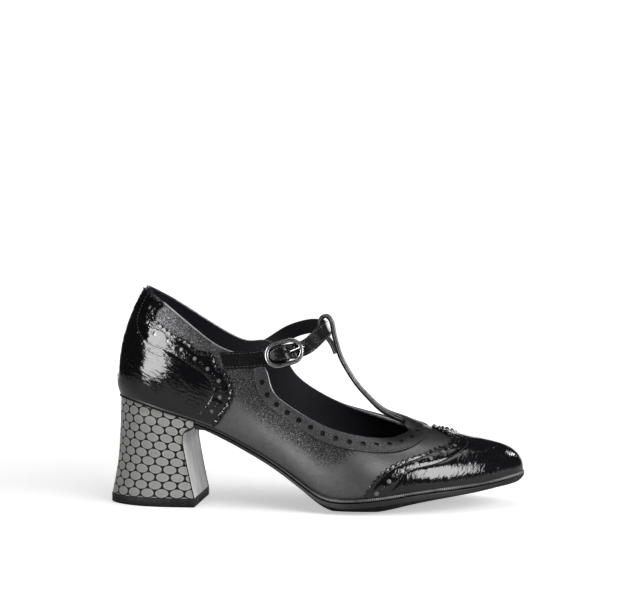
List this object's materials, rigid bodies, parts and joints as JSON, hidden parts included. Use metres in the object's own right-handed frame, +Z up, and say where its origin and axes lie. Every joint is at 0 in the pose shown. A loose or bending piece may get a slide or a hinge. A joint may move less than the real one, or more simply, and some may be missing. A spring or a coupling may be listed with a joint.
{
  "type": "t-strap block heel shoe",
  "caption": "Right T-strap pump with wing-shaped brogue trim, open sides, a buckled strap through a loop on the T-bar, an almond toe and a covered block heel; stands on heel and forefoot.",
  "frame": {"origin": "on the floor under the middle of the shoe's box", "axes": "+X from heel to toe, -Y to the outer side, +Z up"},
  "size_m": [0.2368, 0.0799, 0.1243],
  "materials": {
    "sole": "satin black",
    "lining": "dark navy-black, matte",
    "heel_cover": "silver-grey ovals on a black net",
    "lift": "matte black",
    "metallic_leather": "charcoal, fine grain with a metallic sheen",
    "patent": "black crinkled patent, high gloss",
    "gunmetal": "polished dark gunmetal"
  },
  "bodies": {
    "root": {"outsole": "sole", "midsole": "sole", "insole": "lining", "heel_block": "heel_cover", "heel_lift": "lift", "upper": "metallic_leather", "toe_wing": "patent", "counter": "patent", "facing": "metallic_leather", "strap": "patent", "buckle_tab": "patent", "buckle_frame": "gunmetal", "buckle_prong": "gunmetal"}
  },
  "joints": []
}
